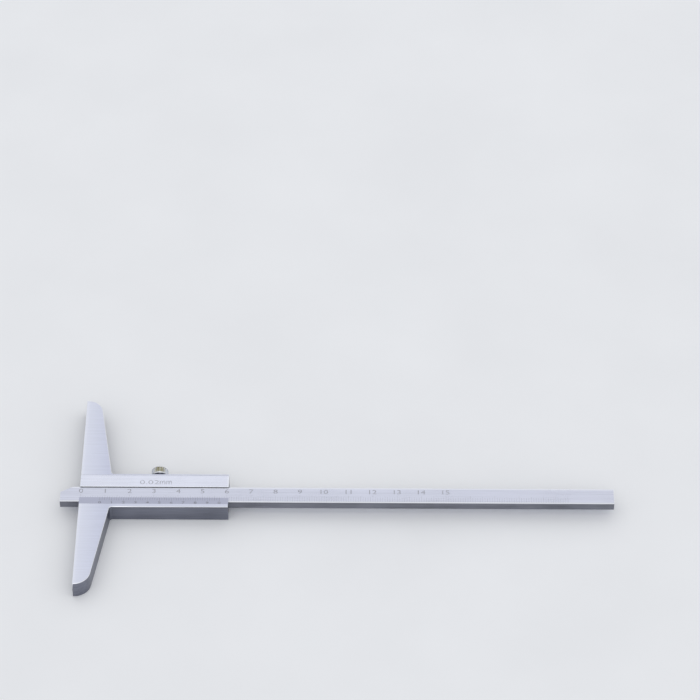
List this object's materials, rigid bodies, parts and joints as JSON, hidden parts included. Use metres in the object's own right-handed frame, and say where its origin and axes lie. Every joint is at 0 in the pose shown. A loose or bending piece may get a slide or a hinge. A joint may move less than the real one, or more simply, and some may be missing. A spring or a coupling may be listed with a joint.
{
  "type": "vernier depth gauge",
  "caption": "Vernier depth gauge: a flat steel base with tapered arms, a slider body with a vernier strip and lock screw, and a long graduated beam with a cut nose.",
  "frame": {"origin": "on the shared edge of the measuring face (X = 0) and the back face (Z = 0), on the base's centre line", "axes": "+X from the measuring face along the slider body, so the beam's nose points to -X; +Y across the gauge towards the lock screw; +Z from the back face up to the graduated front"},
  "size_m": [0.2275, 0.1, 0.0081],
  "materials": {
    "ground_steel": "ground, grain along the beam and across the arms",
    "bright_steel": "bright ground, grain along the beam",
    "beam_steel": "fine ground, grain along the beam",
    "satin_chrome": "matt satin chrome",
    "bronze": "rolled strip",
    "brass": "turned",
    "nickel_brass": "nickel plated, knurled",
    "dark_screw_steel": "blackened"
  },
  "bodies": {
    "gauge_body": {"base_frame": "ground_steel", "cover_strip": "bright_steel", "vernier_strip": "satin_chrome", "gib_strip": "bronze", "gib_screw_1": "dark_screw_steel", "gib_screw_2": "dark_screw_steel", "cover_screw_1": "dark_screw_steel", "cover_screw_2": "dark_screw_steel", "cover_screw_3": "dark_screw_steel", "cover_screw_4": "dark_screw_steel"},
    "sliding_beam": {"beam": "beam_steel"},
    "pressure_pad": {"lock_pad": "brass"},
    "locking_screw": {"lock_screw": "nickel_brass"}
  },
  "joints": [
    {"name": "beam_slide", "type": "slide", "parent": "gauge_body", "child": "sliding_beam", "axis": [-1, 0, 0], "range_m": [-0.008, 0.142]},
    {"name": "lock_pad_slide", "type": "slide", "parent": "gauge_body", "child": "pressure_pad", "axis": [0, 1, 0], "range_m": [-0.00025, 0.00075]},
    {"name": "lock_screw_turn", "type": "hinge", "parent": "pressure_pad", "child": "locking_screw", "pos_m": [0.0323, 0, 0.0045], "axis": [0, 1, 0], "range_deg": [-180, 540]}
  ],
  "couplings": [
    {"joint": "lock_screw_turn", "follows": "lock_pad_slide", "rad_per_m": 12566}
  ]
}
